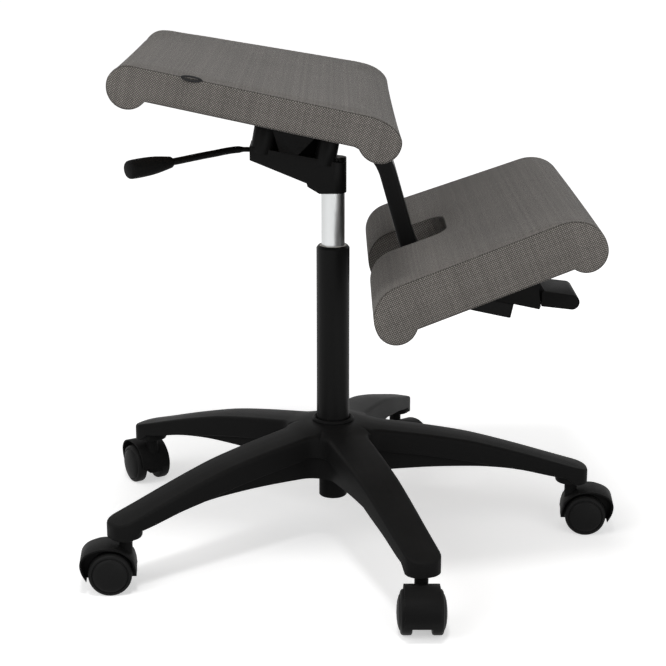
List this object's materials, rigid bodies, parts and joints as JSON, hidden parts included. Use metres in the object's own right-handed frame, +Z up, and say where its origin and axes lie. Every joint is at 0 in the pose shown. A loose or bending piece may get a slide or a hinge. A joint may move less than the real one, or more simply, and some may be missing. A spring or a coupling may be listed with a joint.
{
  "type": "office kneeling chair",
  "caption": "Office kneeling chair: sloping fabric seat and slotted knee pad on a bent arm, gas-lift column with lever, arched star base on twin-wheel castors.",
  "frame": {"origin": "on the column's axis at floor level", "axes": "+X forward from the seat to the knee pad, +Y to the sitter's left, +Z up"},
  "size_m": [0.6426, 0.6386, 0.6045],
  "materials": {
    "black_plastic": "fine-grained moulded black",
    "wheel_nylon": "moulded black nylon",
    "black_paint": "satin black powder coat",
    "polished_steel": "polished",
    "steel": "plated",
    "pale_nylon": "natural nylon",
    "rubber": "matt",
    "plywood": "bare birch plywood",
    "foam": "open-cell foam",
    "upholstery": "two-tone taupe weave",
    "tag_tape": "plain woven tape"
  },
  "bodies": {
    "base": {"star_base": "black_plastic", "castor_sleeves": "steel", "column_tube": "black_paint", "column_collar": "black_plastic", "guide_bush": "pale_nylon", "column_foot": "black_plastic", "thrust_race": "steel"},
    "lift_rod": {"piston_rod": "steel", "piston": "steel", "rubber_buffer": "rubber", "retaining_clip": "steel"},
    "seat_frame": {"lift_cylinder": "polished_steel", "mechanism_housing": "black_paint", "mounting_plate": "black_plastic", "frame_bolts": "steel", "seat_screws": "steel", "lever_pivot_pin": "steel", "knee_arm": "black_paint", "arm_plug": "black_plastic", "knee_bracket": "black_plastic", "bracket_bolts": "steel", "rail_shoe": "pale_nylon", "shoe_screws": "steel", "paddle_pin": "steel", "seat_board": "plywood", "seat_foam": "foam", "seat_cover": "upholstery", "seat_tag": "tag_tape"},
    "height_lever": {"lever_rod": "black_paint", "lever_grip": "black_plastic"},
    "lift_release": {"release_pin": "steel"},
    "knee_pad": {"pad_rail": "black_paint", "rail_screws": "steel", "knee_board": "plywood", "knee_foam": "foam", "knee_cover": "upholstery"},
    "knee_release": {"release_paddle": "black_plastic"},
    "knee_lock": {"lock_plunger": "steel"},
    "castor_1": {"castor_body_1": "black_plastic", "castor_stem_1": "steel"},
    "wheel_1_left": {"castor_wheel_1_left": "wheel_nylon"},
    "wheel_1_right": {"castor_wheel_1_right": "wheel_nylon"},
    "castor_2": {"castor_body_2": "black_plastic", "castor_stem_2": "steel"},
    "wheel_2_left": {"castor_wheel_2_left": "wheel_nylon"},
    "wheel_2_right": {"castor_wheel_2_right": "wheel_nylon"},
    "castor_3": {"castor_body_3": "black_plastic", "castor_stem_3": "steel"},
    "wheel_3_left": {"castor_wheel_3_left": "wheel_nylon"},
    "wheel_3_right": {"castor_wheel_3_right": "wheel_nylon"},
    "castor_4": {"castor_body_4": "black_plastic", "castor_stem_4": "steel"},
    "wheel_4_left": {"castor_wheel_4_left": "wheel_nylon"},
    "wheel_4_right": {"castor_wheel_4_right": "wheel_nylon"},
    "castor_5": {"castor_body_5": "black_plastic", "castor_stem_5": "steel"},
    "wheel_5_left": {"castor_wheel_5_left": "wheel_nylon"},
    "wheel_5_right": {"castor_wheel_5_right": "wheel_nylon"}
  },
  "joints": [
    {"name": "seat_swivel", "type": "hinge", "parent": "base", "child": "lift_rod", "pos_m": [0, 0, 0.2], "axis": [0, 0, 1], "continuous": true},
    {"name": "seat_height", "type": "slide", "parent": "lift_rod", "child": "seat_frame", "axis": [0, 0, 1], "range_m": [-0.06, 0.06]},
    {"name": "height_lever", "type": "hinge", "parent": "seat_frame", "child": "height_lever", "pos_m": [-0.052, 0, 0.481], "axis": [0, 1, 0], "range_deg": [0, 4], "stiffness_Nm_per_rad": 4},
    {"name": "lift_release", "type": "slide", "parent": "seat_frame", "child": "lift_release", "axis": [0, 0, -1], "range_m": [0, 0.0037]},
    {"name": "knee_pad_slide", "type": "slide", "parent": "seat_frame", "child": "knee_pad", "axis": [0.9391, 0, 0.3437], "range_m": [-0.025, 0.03]},
    {"name": "knee_release", "type": "hinge", "parent": "seat_frame", "child": "knee_release", "pos_m": [0.238, 0, 0.326], "axis": [0, -1, 0], "range_deg": [0, 12], "stiffness_Nm_per_rad": 1.5},
    {"name": "knee_lock", "type": "slide", "parent": "seat_frame", "child": "knee_lock", "axis": [0.3437, 0, -0.9391], "range_m": [0, 0.0055]},
    {"name": "castor_1_swivel", "type": "hinge", "parent": "base", "child": "castor_1", "pos_m": [0.29696, 0.00466, 0.06], "axis": [0, 0, 1], "continuous": true},
    {"name": "wheel_1_left_roll", "type": "hinge", "parent": "castor_1", "child": "wheel_1_left", "pos_m": [0.31491, 0.00325, 0.025], "axis": [0.0785, 0.9969, 0], "continuous": true},
    {"name": "wheel_1_right_roll", "type": "hinge", "parent": "castor_1", "child": "wheel_1_right", "pos_m": [0.31491, 0.00325, 0.025], "axis": [0.0785, 0.9969, 0], "continuous": true},
    {"name": "castor_2_swivel", "type": "hinge", "parent": "base", "child": "castor_2", "pos_m": [0.08733, 0.28387, 0.06], "axis": [0, 0, 1], "continuous": true},
    {"name": "wheel_2_left_roll", "type": "hinge", "parent": "castor_2", "child": "wheel_2_left", "pos_m": [0.09765, 0.26913, 0.025], "axis": [0.8192, 0.5736, 0], "continuous": true},
    {"name": "wheel_2_right_roll", "type": "hinge", "parent": "castor_2", "child": "wheel_2_right", "pos_m": [0.09765, 0.26913, 0.025], "axis": [0.8192, 0.5736, 0], "continuous": true},
    {"name": "castor_3_swivel", "type": "hinge", "parent": "base", "child": "castor_3", "pos_m": [-0.24299, 0.17078, 0.06], "axis": [0, 0, 1], "continuous": true},
    {"name": "wheel_3_left_roll", "type": "hinge", "parent": "castor_3", "child": "wheel_3_left", "pos_m": [-0.25253, 0.18604, 0.025], "axis": [-0.848, -0.5299, 0], "continuous": true},
    {"name": "wheel_3_right_roll", "type": "hinge", "parent": "castor_3", "child": "wheel_3_right", "pos_m": [-0.25253, 0.18604, 0.025], "axis": [-0.848, -0.5299, 0], "continuous": true},
    {"name": "castor_4_swivel", "type": "hinge", "parent": "base", "child": "castor_4", "pos_m": [-0.23751, -0.17833, 0.06], "axis": [0, 0, 1], "continuous": true},
    {"name": "wheel_4_left_roll", "type": "hinge", "parent": "castor_4", "child": "wheel_4_left", "pos_m": [-0.25545, -0.17974, 0.025], "axis": [0.0785, -0.9969, 0], "continuous": true},
    {"name": "wheel_4_right_roll", "type": "hinge", "parent": "castor_4", "child": "wheel_4_right", "pos_m": [-0.25545, -0.17974, 0.025], "axis": [0.0785, -0.9969, 0], "continuous": true},
    {"name": "castor_5_swivel", "type": "hinge", "parent": "base", "child": "castor_5", "pos_m": [0.0962, -0.28099, 0.06], "axis": [0, 0, 1], "continuous": true},
    {"name": "wheel_5_left_roll", "type": "hinge", "parent": "castor_5", "child": "wheel_5_left", "pos_m": [0.0962, -0.29899, 0.025], "axis": [1, 0, 0], "continuous": true},
    {"name": "wheel_5_right_roll", "type": "hinge", "parent": "castor_5", "child": "wheel_5_right", "pos_m": [0.0962, -0.29899, 0.025], "axis": [1, 0, 0], "continuous": true}
  ],
  "couplings": [
    {"joint": "lift_release", "follows": "height_lever", "m_per_rad": 0.052},
    {"joint": "knee_lock", "follows": "knee_release", "m_per_rad": 0.026}
  ]
}
